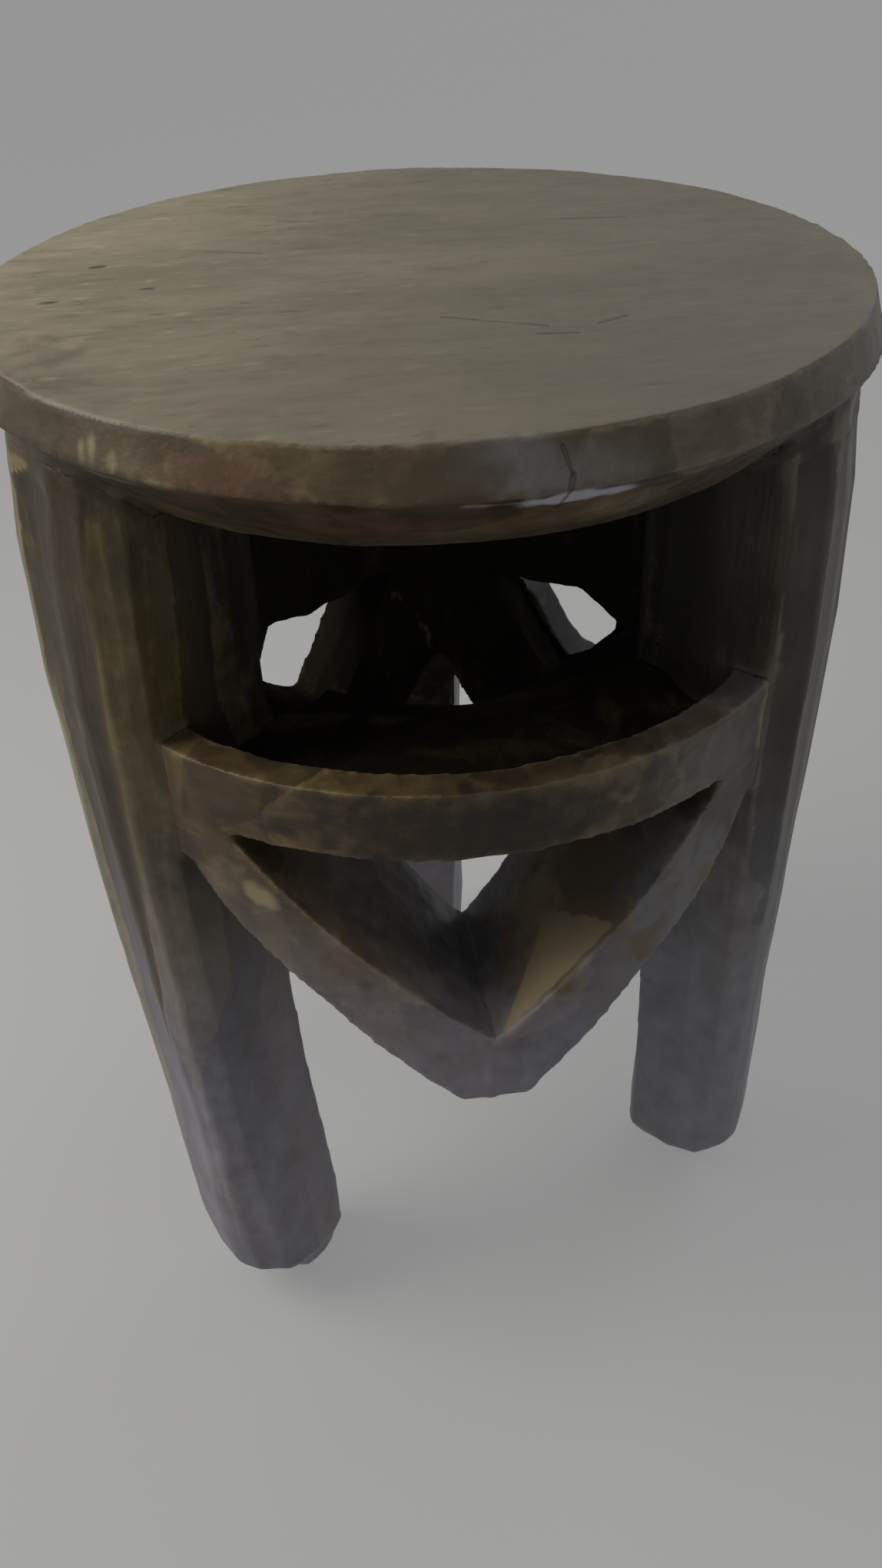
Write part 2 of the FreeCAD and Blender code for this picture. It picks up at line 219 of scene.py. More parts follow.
def normals_of(piece):
    """The way that the piece's skin faces at each point, as rows of three numbers."""
    normals = np.empty(len(piece.data.vertices) * 3)
    piece.data.vertex_normals.foreach_get("vector", normals)
    return normals.reshape(-1, 3)


def averager(piece):
    """A function that gives each of the piece's points the mean of its neighbours' values."""
    pairs = np.empty(len(piece.data.edges) * 2, np.int64)
    piece.data.edges.foreach_get("vertices", pairs)
    pairs = pairs.reshape(-1, 2)
    ends = np.concatenate((pairs, pairs[:, ::-1]))
    size = len(piece.data.vertices)
    count = np.maximum(np.bincount(ends[:, 0], minlength=size), 1)
    return lambda values: np.bincount(ends[:, 0], values[ends[:, 1]], size) / count


def eased(values, start, end):
    """0 at start, 1 at end, and smooth between them."""
    share = np.clip((values - start) / (end - start), 0, 1)
    return share * share * (3 - 2 * share)


# Each foot as it is drawn, by height in mm: the middle and the half of its section out from
# the stool's axis, and beside that line.
DRAWN_FOOT = {"height": (0, 5, 10, 20, 40, 80, 130),
              "out": (118.5, 119, 119, 119, 120, 122, 123),
              "half_out": (9.5, 15, 18, 22, 25, 26, 26.5),
              "beside": (20, 20, 19.5, 19.5, 18, 14, 9),
              "half_beside": (14, 18, 20.5, 23.5, 26, 28, 29.5)}
# What the carver made of each: how the section grows at SIZE_HEIGHTS, and how far it shifts
# at SHIFT_HEIGHTS, all in mm. A foot that leans is drawn to one side of its leg's line.
SIZE_HEIGHTS = (0, 3, 8, 16, 28, 55, 120)
SHIFT_HEIGHTS = (0, 30, 130)
FEET = {
    "left": {"turn": 210, "leans": 1, "sizes": (1.05, 1.06, 0.99, 0.98, 1.17, 1.16, 1),
             "outwards": (-11, 0, 0), "aside": (-1, 2.5, 0)},
    "right": {"turn": 330, "leans": 1, "sizes": (0.93, 0.93, 0.93, 1.03, 1.15, 1.09, 1),
              "outwards": (-4, 2, 0), "aside": (4.5, -3.5, 0)},
    "back": {"turn": 90, "leans": 0, "sizes": (0.95, 0.95, 0.95, 1.0, 1.13, 1.1, 1),
             "outwards": (-4, 0, 0), "aside": (0, 0, 0)},
}
# A foot goes up to FOOT_TOP in mm, and reaches FOOT_SPREAD degrees to each side of its leg.
# CORNERS_OFF is how round its section is at the floor: 0 for square, 0.5 for an ellipse.
FOOT_TOP, FOOT_SPREAD, CORNERS_OFF = 130, 42, 0.375


def inner_shift(points):
    """How far, in mm, the carver's hand left the members round the windows from their drawn
    places. Every pair of numbers in eased() is where a change starts and where it is whole."""
    across, back, height = (points / MM).T
    angle = np.degrees(np.arctan2(back, across)) % 360
    near_band = eased(np.hypot(across, back), 100, 116)
    right_out, right_beside = across * 0.866 - back * 0.5, across * 0.5 + back * 0.866
    left_out, left_beside = -(across * 0.866 + back * 0.5), across * 0.5 - back * 0.866
    up = np.zeros(len(points))

    # The right strut is thinner on its far side, and the left one a little wider.
    thinner = 10 * eased(right_beside, 1, 14) * eased(right_beside, 46, 19) \
        * eased(right_out, 12, 26) * eased(right_out, 96, 72) \
        * eased(height, 215, 262) * eased(height, 346, 333)
    wider = 1.5 * eased(-left_beside, 1, 12) * eased(-left_beside, 40, 18) \
        * eased(left_out, 12, 26) * eased(left_out, 92, 76) \
        * eased(height, 225, 262) * eased(height, 340, 326)
    rightwards = -0.5 * thinner - 0.5 * wider
    backwards = -0.866 * thinner + 0.866 * wider

    # The low wall of the right bay, and the end of the left bay's, are left higher.
    up += 24 * near_band * eased(angle, 49, 60) * eased(angle, 84, 72) \
        * eased(height, 196, 222) * eased(height, 288, 262)
    up += 26 * near_band * eased(angle, 134, 119) * eased(angle, 92, 100) \
        * eased(height, 205, 238) * eased(height, 290, 262)

    # The ribs over both windows hang lower, the right one most near its leg.
    up -= (5 + 11 * eased(right_out, 62, 84)) * eased(right_out, 26, 40) \
        * eased(right_out, 100, 90) * eased(abs(right_beside), 32, 22) \
        * eased(height, 317, 325) * eased(height, 356, 338)
    up -= 4 * eased(left_out, 40, 54) * eased(left_out, 88, 66) \
        * eased(abs(left_beside), 32, 22) * eased(height, 317, 325) * eased(height, 356, 338)

    # By the right strut the floor rises to the leg, and the strut's underside sags.
    up += 12 * eased(right_out, 50, 78) * eased(right_out, 112, 96) \
        * eased(abs(right_beside), 42, 16) * eased(height, 262, 284) * eased(height, 318, 304)
    over_bottom = height - (278 - 1.65 * (right_out - 20))
    up -= 8 * eased(right_out, 2, 10) * eased(right_out, 64, 44) \
        * eased(abs(right_beside), 30, 20) * eased(over_bottom, 34, 8) \
        * eased(over_bottom, -30, -12)
    return np.stack((rightwards, backwards, up), axis=1)


def foot_shift(points, foot):
    """How far, in mm, the carver rounded this foot's corners off and moved it."""
    angle = np.degrees(np.arctan2(points[:, 1], points[:, 0]))
    height = points[:, 2] / MM
    turn = math.radians(foot["turn"])
    way = np.array((math.cos(turn), math.sin(turn), 0))
    beside = np.array((-way[1], way[0], 0))
    drawn = {name: np.interp(height, DRAWN_FOOT["height"], row)
             for name, row in DRAWN_FOOT.items()}
    drawn["beside"] = drawn["beside"] * foot["leans"]
    here = (abs((angle - foot["turn"] + 180) % 360 - 180) < FOOT_SPREAD) & (height < FOOT_TOP)
    far, over = points @ way / MM, points @ beside / MM
    along = np.clip((far - drawn["out"]) / drawn["half_out"], -1.2, 1.2)
    wide = np.clip((over - drawn["beside"]) / drawn["half_beside"], -1.2, 1.2)
    round_off = CORNERS_OFF * eased(height, FOOT_TOP, 40)
    size = np.interp(height, SIZE_HEIGHTS, foot["sizes"])
    push = drawn["out"] + along * np.sqrt(1 - round_off * wide ** 2) * drawn["half_out"] * size \
        + np.interp(height, SHIFT_HEIGHTS, foot["outwards"]) - far
    slide = drawn["beside"] + wide * np.sqrt(1 - round_off * along ** 2) \
        * drawn["half_beside"] * size + np.interp(height, SHIFT_HEIGHTS, foot["aside"]) - over
    return here[:, None] * (np.outer(slide, beside) + np.outer(push, way))


def by_hand(points):
    """The drawn shape's points where the carver's hand left them."""
    shift = inner_shift(points)
    for foot in FEET.values():
        shift = shift + foot_shift(points, foot)
    return points + shift * MM


skin = fine_mesh("block", sorted(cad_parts), 4)
skin.data.vertices.foreach_set("co", by_hand(points_of(skin)).ravel())
skin.data.update()
skin_points, skin_normals = points_of(skin), normals_of(skin)
skin_faces = np.full((len(skin.data.polygons), 4), -1)
for number, face in enumerate(skin.data.polygons):
    corners = list(face.vertices)
    skin_faces[number] = (corners + corners[-1:])[:4]
skin_tree = BVHTree.FromPolygons(skin_points.tolist(), skin_faces.tolist())
around = averager(skin)

# Where hands and dust reach: what stands proud is rubbed bright, and corners keep dirt,
# made darker as painted shade.
BROAD, SMOOTHED = 5, 2
means = skin_points
for _ in range(BROAD):
    means = np.stack([around(means[:, axis]) for axis in range(3)], axis=1)
proud = ((skin_points - means) * skin_normals).sum(axis=1) / FINE
for _ in range(SMOOTHED):
    proud = (proud + around(proud)) / 2
skin_worn = np.clip(proud * 2.0 - 0.15, 0, 1)
skin_hollow = np.clip(-proud * 2.0 - 0.1, 0, 1)

# Each member's blank, and the places on the skin that its own points come from. Where two
# members meet, quiet keeps the tools away, so that both keep the same skin.
members, owner = {}, np.full(len(skin_points), -1)
for number, node in enumerate(sorted(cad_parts)):
    piece = fine_mesh("carved_" + node, [node], 1)
    points = by_hand(points_of(piece) + normals_of(piece) * SWELL)
    found = [skin_tree.find_nearest(point) for point in points.tolist()]
    spots = np.array([tuple(hit[0]) for hit in found])
    quads = skin_faces[[hit[2] for hit in found]]
    apart = np.linalg.norm(points - spots, axis=1)
    reach = np.linalg.norm(skin_points[quads] - spots[:, None], axis=2) + 0.01 * MM
    shares = 1 / reach ** 2
    shares /= shares.sum(axis=1, keepdims=True)
    members[node] = {"piece": piece, "points": points, "spots": spots, "quads": quads,
                     "shares": shares, "on_skin": 1 - np.clip((apart - SKIN) / FADE, 0, 1),
                     "close": apart < SKIN}
    owner[quads[apart < SKIN]] = number
quiet = np.ones(len(skin_points))
meeting = abs(around(owner.astype(float)) - owner) > 1e-6
quiet[meeting] = 0
for _ in range(3):
    quiet = np.minimum(quiet, around(quiet) + 0.12)
    quiet[meeting] = 0


def scatter(cells, seed):
    """Three fixed random numbers between 0 and 1 for each whole-numbered cell of space."""
    limit = np.uint64(0xFFFFFFFF)
    cells = cells.astype(np.int64).astype(np.uint64) & limit
    key = (cells[:, 0] * np.uint64(73856093) ^ cells[:, 1] * np.uint64(19349663)
           ^ cells[:, 2] * np.uint64(83492791) ^ np.uint64(seed * 2654435)) & limit
    numbers = []
    for _ in range(3):
        key = (key ^ (key >> np.uint64(15))) * np.uint64(2246822519) & limit
        key = (key ^ (key >> np.uint64(13))) * np.uint64(3266489917) & limit
        key ^= key >> np.uint64(16)
        numbers.append(key.astype(float) / float(limit))
    return np.stack(numbers, axis=1)


def drift(points, size, seed):
    """Smooth waves between -1 and 1, about as long as this size."""
    grid = points / size
    base = np.floor(grid)
    part = grid - base
    part = part * part * (3 - 2 * part)
    total = np.zeros(len(points))
    for corner in np.ndindex(2, 2, 2):
        share = np.where(corner, part, 1 - part).prod(axis=1)
        total += share * scatter(base + corner, seed)[:, 0]
    return 2 * total - 1


def tool_marks(points, size, seed):
    """The blows of a tool: how far a point is from the middle of its own mark, how near it
    is to the ridge between two marks, and a tone for each mark."""
    grid = points / size
    base = np.floor(grid)
    nearest = next_nearest = np.full(len(points), 9.0)
    shade = np.zeros(len(points))
    for step in np.ndindex(3, 3, 3):
        cell = base + step - 1
        away = np.linalg.norm(grid - cell - scatter(cell, seed), axis=1)
        nearer = away < nearest
        next_nearest = np.where(nearer, nearest, np.minimum(next_nearest, away))
        shade = np.where(nearer, scatter(cell, seed + 7)[:, 1], shade)
        nearest = np.where(nearer, away, nearest)
    return nearest, next_nearest - nearest, shade


def smoke_and_shade_on(places, normals, soot_and_shade):
    """Where smoke and dust blackened the wood, and where it is darkened as painted shade: all
    the inside under the seat, and by the given strength what faces the stool's axis, or
    upwards low in the bays."""
    across, back, height = (places / MM).T
    inwards = np.hypot(across, back)
    inside = eased(inwards, 136, 104) * eased(height, 262, 312) * eased(height, 408, 396)
    facing = -(normals[:, 0] * across + normals[:, 1] * back) / inwards
    facing = facing + normals[:, 2] * eased(height, 285, 255)
    return np.maximum(inside, soot_and_shade * eased(facing, -0.1, 0.5))


def blot(places, spots, middle, radius, strength):
    """A ragged round mark, by its middle and its radius each way in mm."""
    away = np.linalg.norm((places - np.array(middle) * MM) / (np.array(radius) * MM), axis=1)
    away = away * (1 + 0.4 * drift(spots, 9 * MM, 5)) + 0.35 * drift(spots, 4 * MM, 6)
    return strength * np.clip(1.6 - away, 0, 1)


def three_cornered_patch(places, spots, corners, strength):
    """A three-cornered patch, by its corners in mm: a fresh cut, and strips of painted shade and
    highlight. Its sides are a little uneven.
    """
    corner, *others = np.array(corners) * MM
    across, beside = (other - corner for other in others)
    face = np.cross(across, beside)
    size = np.linalg.norm(face)
    offset = places - corner + drift(spots, 3 * MM, 8)[:, None] * 0.8 * MM
    towards = [np.cross(offset, beside) @ face / size ** 2,
               np.cross(across, offset) @ face / size ** 2]
    towards.append(1 - towards[0] - towards[1])
    inside = np.clip(np.minimum.reduce(towards) / 0.05 + 0.5, 0, 1)
    return strength * inside * (abs(offset @ face / size) < 9 * MM)


def carve(node, tool_path, passes, wander=0.5 * MM, marks=(), facets=(), soot_and_shade=0):
    """Works a member's skin over with tools. tool_path gives its points as the tool meets
    them, and each pass has the size of its marks and their depth in mm, and a seed. wander is
    how far the tool strays. Wood is only taken away. The member then has a mask for each kind
    of wear and dirt that its wood reads, and for painted light and shade: marks are ragged
    blots, and facets three-cornered patches."""
    member = members[node]
    spots, quads, shares = member["spots"], member["quads"], member["shares"]

    def of_skin(values):
        return (values[quads] * shares).sum(axis=1)

    normals = np.stack([of_skin(skin_normals[:, axis]) for axis in range(3)], axis=1)
    calm = of_skin(quiet)
    where = tool_path(spots, normals)
    depth, shade, ridge, weight = 0, 0, 0, 0
    for size, bite, seed in passes:
        away, edge, tint = tool_marks(where, np.array(size) * MM, seed)
        depth = depth + bite * MM * (np.minimum(away ** 2 / 0.5, 1) - 1) * calm
        shade = shade + bite * ((tint - 0.5) * calm + 0.5)
        ridge = np.maximum(ridge, bite / (bite + 0.2) * np.clip(1 - edge / 0.12, 0, 1) * calm)
        weight += bite
    depth = depth + wander * (drift(spots, 45 * MM, 11) - 1) / 2
    carved = np.where(member["close"][:, None], spots, member["points"])
    carved = carved + normals * (depth * member["on_skin"])[:, None]
    carved[:, 2] = np.clip(carved[:, 2], cad_box[0].z, cad_box[1].z)
    piece = member["piece"]
    piece.data.vertices.foreach_set("co", carved.ravel())
    piece.data.update()
    masks = {"facet": shade / weight, "ridge": ridge, "worn": of_skin(skin_worn),
             "hollow": of_skin(skin_hollow)}
    masks["smoke_and_shade"] = smoke_and_shade_on(carved, normals, soot_and_shade)
    for name, middle, radius, strength in marks:
        mark = blot(carved, spots, middle, radius, strength)
        masks[name] = np.maximum(masks.get(name, 0), mark)
    for name, corners, strength in facets:
        mark = three_cornered_patch(carved, spots, corners, strength)
        masks[name] = np.maximum(masks.get(name, 0), mark)
    for name, values in masks.items():
        mask = piece.data.attributes.new(name, "FLOAT", "POINT")
        mask.data.foreach_set("value", np.asarray(values, np.float32))


# The cracks in each wood: from, to, half width, all in metres, and the two axes that its
# face lies along.
TOP, FRONT = (1, 1, 0), (1, 0, 1)
CRACKS = {"seat_wood": [
    ((0.000, -0.052, 0.432), (0.030, -0.068, 0.432), 0.0009, TOP),
    ((0.026, -0.074, 0.432), (0.038, -0.075, 0.432), 0.0008, TOP),
    ((0.046, -0.068, 0.432), (0.055, -0.064, 0.432), 0.0011, TOP),
    ((-0.072, 0.040, 0.432), (-0.052, 0.033, 0.432), 0.0008, TOP),
    ((-0.030, 0.070, 0.432), (-0.044, 0.076, 0.432), 0.0007, TOP),
    ((0.060, 0.050, 0.432), (0.084, 0.047, 0.432), 0.0008, TOP),
    ((0.0165, -0.150, 0.428), (0.019, -0.150, 0.421), 0.0006, FRONT),
    ((0.019, -0.150, 0.421), (0.017, -0.150, 0.408), 0.0009, FRONT),
]}


class Wire:
    """One output among a material's nodes. A sum of wires and numbers adds its Math nodes."""

    def __init__(self, tree, socket=None):
        self.tree, self.socket = tree, socket

    def node(self, kind, settings, values, output=0):
        """Adds a node of this kind, sets it, fills its sockets and gives back an output."""
        made = self.tree.nodes.new("ShaderNode" + kind)
        for name, setting in settings.items():
            setattr(made, name, setting)
        for name, value in values.items():
            if isinstance(value, Wire):
                self.tree.links.new(value.socket, made.inputs[name])
            else:
                made.inputs[name].default_value = value
        return Wire(self.tree, made.outputs[output])

    def maths(self, operation, left, right):
        return self.node("Math", {"operation": operation}, {0: left, 1: right})

    def __add__(self, other):
        return self.maths("ADD", self, other)

    def __sub__(self, other):
        return self.maths("SUBTRACT", self, other)

    def __rsub__(self, other):
        return self.maths("SUBTRACT", other, self)

    def __mul__(self, other):
        return self.maths("MULTIPLY", self, other)

    __radd__, __rmul__ = __add__, __mul__

    def ramp(self, low, high):
        """0 below low, 1 above high, and smooth between them."""
        return self.node("MapRange", {"interpolation_type": "SMOOTHSTEP"},
                         {"Value": self, "From Min": low, "From Max": high})

    def mix(self, one, other):
        """The first colour where this wire is 0, and the other where it is 1."""
        return self.node("Mix", {"data_type": "RGBA"}, {0: self, 6: one, 7: other}, 2)

    def noise(self, scale, detail=3.0, rough=0.55):
        """Cloudy noise round a half, read at this wire's places. scale is in marks a metre."""
        spread = self.node("Mapping", {}, {"Vector": self, "Scale": scale})
        return self.node("TexNoise", {}, {"Vector": spread, "Scale": 1.0, "Detail": detail,
                                          "Roughness": rough})

    def near_line(self, start, end, width, across, wobble):
        """1 along a line from start to end in metres, 0 at this width from it, and ragged.
        across has 0 for the axis that goes into the wood."""
        line = (Vector(end) - Vector(start)) * Vector(across)
        offset = self.node("VectorMath", {"operation": "SUBTRACT"}, {0: self, 1: start})
        offset = self.node("VectorMath", {"operation": "MULTIPLY"}, {0: offset, 1: across})
        along = self.node("VectorMath", {"operation": "DOT_PRODUCT"}, {0: offset, 1: line}, 1)
        along = self.node("Clamp", {}, {0: along * (1 / line.length_squared)})
        foot = self.node("VectorMath", {"operation": "SCALE"}, {0: line, "Scale": along})
        away = self.node("VectorMath", {"operation": "DISTANCE"}, {0: offset, 1: foot}, 1)
        return (away + (wobble - 0.5) * width * 3).ramp(width, width * 0.3)

    def axis(self, number):
        """These places' first, second or third number, by 0, 1 or 2."""
        return self.node("SeparateXYZ", {}, {0: self}, number)

    def mask(self, name):
        """What carve left under this name at the wire's places."""
        return self.node("Attribute", {"attribute_name": name}, {}, 2)


# What lies on the wood, from the lowest to the uppermost: stains, and painted light. The
# darkest hue is painted shade, the grey one a painted sheen and the gleam a painted highlight,
# and in some marks umber is painted shade, and pale, brown and ochre are painted light.
STAINS_AND_PAINTED_LIGHT = {"grey": tone(104, 103, 106), "rust": tone(92, 64, 46), "brown": tone(88, 75, 54),
          "umber": tone(60, 51, 35), "pale": tone(134, 126, 100), "ochre": tone(130, 118, 92),
          "gleam": tone(176, 178, 190), "painted_shade": tone(22, 19, 16)}
# A greyish sheen low down, which is painted light from the pale floor; dust, which in hollows is
# also painted shade; and the dark of cracks.
FLOOR_SHEEN_HUE, DUST_AND_SHADE, CRACK_DARK = tone(126, 125, 137), tone(26, 22, 17), tone(38, 32, 24)
TOP_DENT, TOP_FLECK, TOP_PAINTED_SHADE = tone(66, 59, 46), tone(72, 62, 47), tone(66, 62, 51)


def worn_top(place, patches, hues):
    """The sat-on face: clouded along the grain, paler where it is rubbed, dented and
    flecked, and darker and browner to the right and in front, as painted shade. Also gives
    its dashes."""
    deep, middle, worn = hues
    waves = place.noise((11, 26, 20), 3, 0.5)
    dashes = place.noise((95, 330, 200), 3, 0.6)
    flecks = place.noise((42, 120, 100), 4, 0.65)
    face = ((waves - 0.5) * 1.8 + (flecks - 0.5) * 1.2 + 0.5).ramp(0.0, 1.0).mix(deep, middle)
    face = ((dashes - 0.5) * 1.4 + (patches - 0.5) * 0.5).ramp(0.05, 0.6).mix(face, worn)
    face = ((dashes - 0.4).ramp(0.0, -0.12) * 0.6).mix(face, TOP_DENT)
    face = ((flecks - 0.4).ramp(0.0, -0.16) * 0.45).mix(face, TOP_FLECK)
    # Painted shade: the top is darker to the right and towards the front.
    face = (place.axis(0).ramp(-0.15, 0.07) * 0.62).mix(face, TOP_PAINTED_SHADE)
    face = (place.axis(1).ramp(0.02, -0.13) * 0.35).mix(face, TOP_PAINTED_SHADE)
    return face, dashes


def old_wood(name, deep, middle, worn, grain, cloud=26, gloss=0.46, floor_sheen=(0, 0.1, 0.27),
             relief=0.5, facets=0.8, shine=0.5, streaks=1, smoked_and_shaded=(18, 17, 14), top=None):
    """Hardwood with the skin of long use, from its deep hue to its worn one. grain is how
    close its fibres lie each way, and cloud its soft patches. gloss is its roughness, and
    shine how much it mirrors. The greyish sheen low down is painted light, the pale floor's
    light on the wood: its strength comes first, then the heights that it fades between. The
    smoked hue is for the inside, under smoke and dust and painted shade, and top gives the
    hues of a sat-on face."""
    material = bpy.data.materials.new(name)
    material.use_nodes = True
    shader = material.node_tree.nodes["Principled BSDF"]
    shader.inputs["Specular IOR Level"].default_value = shine
    place = Wire(material.node_tree).node("TexCoord", {}, {}, 3)
    clouds = place.noise((cloud,) * 3, 3, 0.6)
    patches = place.noise((cloud * 4.3,) * 3, 4, 0.62)
    fibres = place.noise(grain, 4, 0.6)
    pores = place.noise(tuple(share * 3.1 for share in grain), 2, 0.5)
    specks = place.noise((900,) * 3, 2, 0.6)
    facet, ridge = place.mask("facet"), place.mask("ridge")
    edge, hollow = place.mask("worn"), place.mask("hollow")
    body = ((clouds - 0.5) * 1.7 + (facet - 0.5) * facets
            + (fibres - 0.5) * 0.9 * streaks + 0.5).ramp(0.0, 1.0)
    colour = body.mix(deep, middle)
    rubbed = ((patches - 0.5) * 1.3 + (facet - 0.5) * facets * 0.7 + edge * 0.7 + ridge * 0.25
              + (pores - 0.5) * 0.6 * streaks).ramp(0.05, 0.8)
    colour = (rubbed * 0.75).mix(colour, worn)
    # Painted light: the right side is greyer, as under the cool light from the right.
    greyed_by_cool_light = place.axis(0).ramp(-0.02, 0.12)
    colour = place.node("HueSaturation", {}, {"Saturation": 1 - greyed_by_cool_light * 0.55, "Color": colour})
    # Painted light: low down the wood takes a greyish sheen, as the pale floor's light gives it.
    strongest, full_below, none_above = floor_sheen
    if strongest:
        floor_sheen_share = (1 - place.axis(2).ramp(full_below, none_above)) * (0.75 + (patches - 0.5) * 1.1)
        colour = (floor_sheen_share * strongest).mix(colour, FLOOR_SHEEN_HUE)
    rough = gloss + (patches - 0.5) * 0.35 + (fibres - 0.5) * 0.25 + edge * 0.2 + hollow * 0.2
    bumps = fibres * 0.55 + pores * 0.25 + patches * 0.35 + specks * 0.12
    if top:
        upper = place.mask("top")
        face, dashes = worn_top(place, patches, top)
        colour = upper.mix(colour, face)
        rough = rough + upper * 0.12
        bumps = bumps + dashes * upper * 0.5
    # Smoke, and painted shade, blacken the inside and the hidden bays' inner faces.
    smoke_and_shade = place.mask("smoke_and_shade")
    bits = ((patches - 0.5) * 1.5 + (facet - 0.5) * 1.2 + (fibres - 0.5) * 0.8).ramp(0.2, 0.7)
    colour = (smoke_and_shade * (0.93 - bits * 0.35)).mix(colour, tone(*smoked_and_shaded))
    rough = rough + smoke_and_shade * 0.4
    # Stains, and marks of painted shade, painted sheen and painted highlight, laid over the wood.
    for mark, hue in STAINS_AND_PAINTED_LIGHT.items():
        laid = place.mask(mark)
        stain_and_painted_light = (laid + (patches - 0.5) * 1.1 * laid + (specks - 0.5) * 0.5 * laid).ramp(0.15, 0.9)
        colour = (stain_and_painted_light * 0.85).mix(colour, hue)
    # Dust in the hollows, darker also as painted shade, and dark specks.
    dirt_and_shade = (hollow * 0.75 + (specks - 0.62).ramp(0.0, 0.2) * 0.3).ramp(0.0, 1.0)
    colour = (dirt_and_shade * 0.6).mix(colour, DUST_AND_SHADE)
    for start, end, width, across in CRACKS.get(name, ()):
        open_crack = place.near_line(start, end, width, across, patches)
        if across == FRONT:
            open_crack = open_crack * (1 - upper)
        colour = (open_crack * 0.6).mix(colour, CRACK_DARK)
        bumps = bumps - open_crack * 1.2
    normal = place.node("Bump", {}, {"Height": bumps, "Strength": relief, "Distance": 0.0006})
    for socket, value in (("Base Color", colour), ("Roughness", rough), ("Normal", normal)):
        material.node_tree.links.new(value.socket, shader.inputs[socket])
    return material


def hand_over(node, material):
    """The finished member takes its material and its solid's place."""
    piece = members[node]["piece"]
    piece.data.materials.append(material)
    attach(piece, "root")
    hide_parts(node)


def as_it_is(points, normals):
    """Points as a tool sees them that is held still."""
    return points


ROUND_RADIUS = 0.14


def round_the_stool(points, normals):
    """Points as a tool sees them that walks round the stool: along, inwards and up."""
    along = ROUND_RADIUS * np.arctan2(points[:, 0], -points[:, 1])
    return np.stack((along, np.hypot(points[:, 0], points[:, 1]), points[:, 2]), axis=1)


# The seat: the round top of the block, worked flat with an adze, with an upright rim and a
# slant under it. Old hardwood, grey-olive on top from use, browner at the sides.
def over_the_seat(points, normals):
    """Points as a tool sees them that goes over the top as it lies, in marks of their own,
    and round the rim and the slant."""
    on_top = (normals[:, 2] > 0.7)[:, None]
    return np.where(on_top, points * (1, 1, 0.2) + (0, 0, 3), round_the_stool(points, normals))


# From the photo, in mm: pits in the top on the left, pale scratches and an umber
# stain at the rim's far left, red-brown patches along the rim, and its gleam near the crack.
# Painted shade darkens the pits in the top, the rim's middle and the slant under it. The grey
# blots are a painted sheen and the gleam a painted highlight near the crack, and a pale blot is
# painted light on the slant's right.
SEAT_MARKS = [
    ("painted_shade", (-121, -9, 431), (3.6, 1.8, 3), 1), ("painted_shade", (-91, -1, 431), (2.4, 1.2, 3), 1),
    ("painted_shade", (-109, 29, 431), (2.2, 1.2, 3), 1), ("painted_shade", (-127, 4, 431), (1.5, 1, 3), 0.9),
    ("pale", (-104, -112, 424), (2, 2, 5), 0.6), ("pale", (-107, -109, 422), (2, 2, 4), 0.55),
    ("pale", (-98, -117, 421), (2, 2, 4), 0.5), ("pale", (-87, -127, 417), (6, 5, 1.4), 0.5),
    ("pale", (-101, -114, 414), (14, 14, 1), 0.6), ("pale", (-84, -128, 423), (2, 2, 4), 0.4),
    ("pale", (-89, -125, 422), (20, 16, 8), 0.25), ("umber", (-126, -84, 424), (22, 34, 12), 0.55),
    ("umber", (-14, -152, 420), (15, 12, 9), 0.7),
    ("gleam", (19, -151, 413), (12, 8, 2.0), 1.0), ("gleam", (2, -154, 414), (12, 8, 1.2), 0.5),
    ("rust", (-72, -134, 420), (22, 20, 9), 0.6), ("rust", (-39, -134, 403), (26, 16, 9), 0.6),
    ("rust", (20, -140, 404), (26, 16, 8), 0.5), ("rust", (-10, -152, 415), (12, 9, 5), 0.6),
    ("rust", (70, -110, 400), (20, 16, 9), 0.5), ("pale", (40, -135, 403), (26, 14, 7), 0.4),
    ("grey", (8, -153, 424), (16, 12, 9), 0.65), ("painted_shade", (-20, -120, 395), (44, 22, 7), 0.5),
    ("grey", (30, -148, 420), (12, 12, 7), 0.5),
]
carve("seat", over_the_seat, [((40, 24, 22), 0.4, 3), ((13, 9, 30), 0.14, 4)],
      wander=0.9 * MM, marks=SEAT_MARKS)
seat = members["seat"]["piece"]
on_top = np.clip((normals_of(seat)[:, 2] - 0.6) * 5, 0, 1)
top = seat.data.attributes.new("top", "FLOAT", "POINT")
top.data.foreach_set("value", on_top.astype(np.float32))
seat_wood = old_wood("seat_wood", tone(52, 43, 27), tone(82, 70, 46), tone(112, 99, 68),
                     (90, 170, 170), cloud=20, gloss=0.44, relief=0.5, shine=0.35,
                     top=(tone(93, 87, 70), tone(117, 110, 90), tone(140, 132, 107)))
hand_over("seat", seat_wood)


# The legs: three posts of the same block, hewn square, cut back towards the foot and left
# with long flat strokes of the adze from the seat down to a rounded tongue of a foot.
leg_wood = old_wood("leg_wood", tone(46, 39, 24), tone(80, 70, 45), tone(114, 103, 73),
                    (260, 260, 16), cloud=17, gloss=0.42, floor_sheen=(0.9, 0.10, 0.31), relief=0.7,
                    facets=1.0, shine=0.3, streaks=0.45)


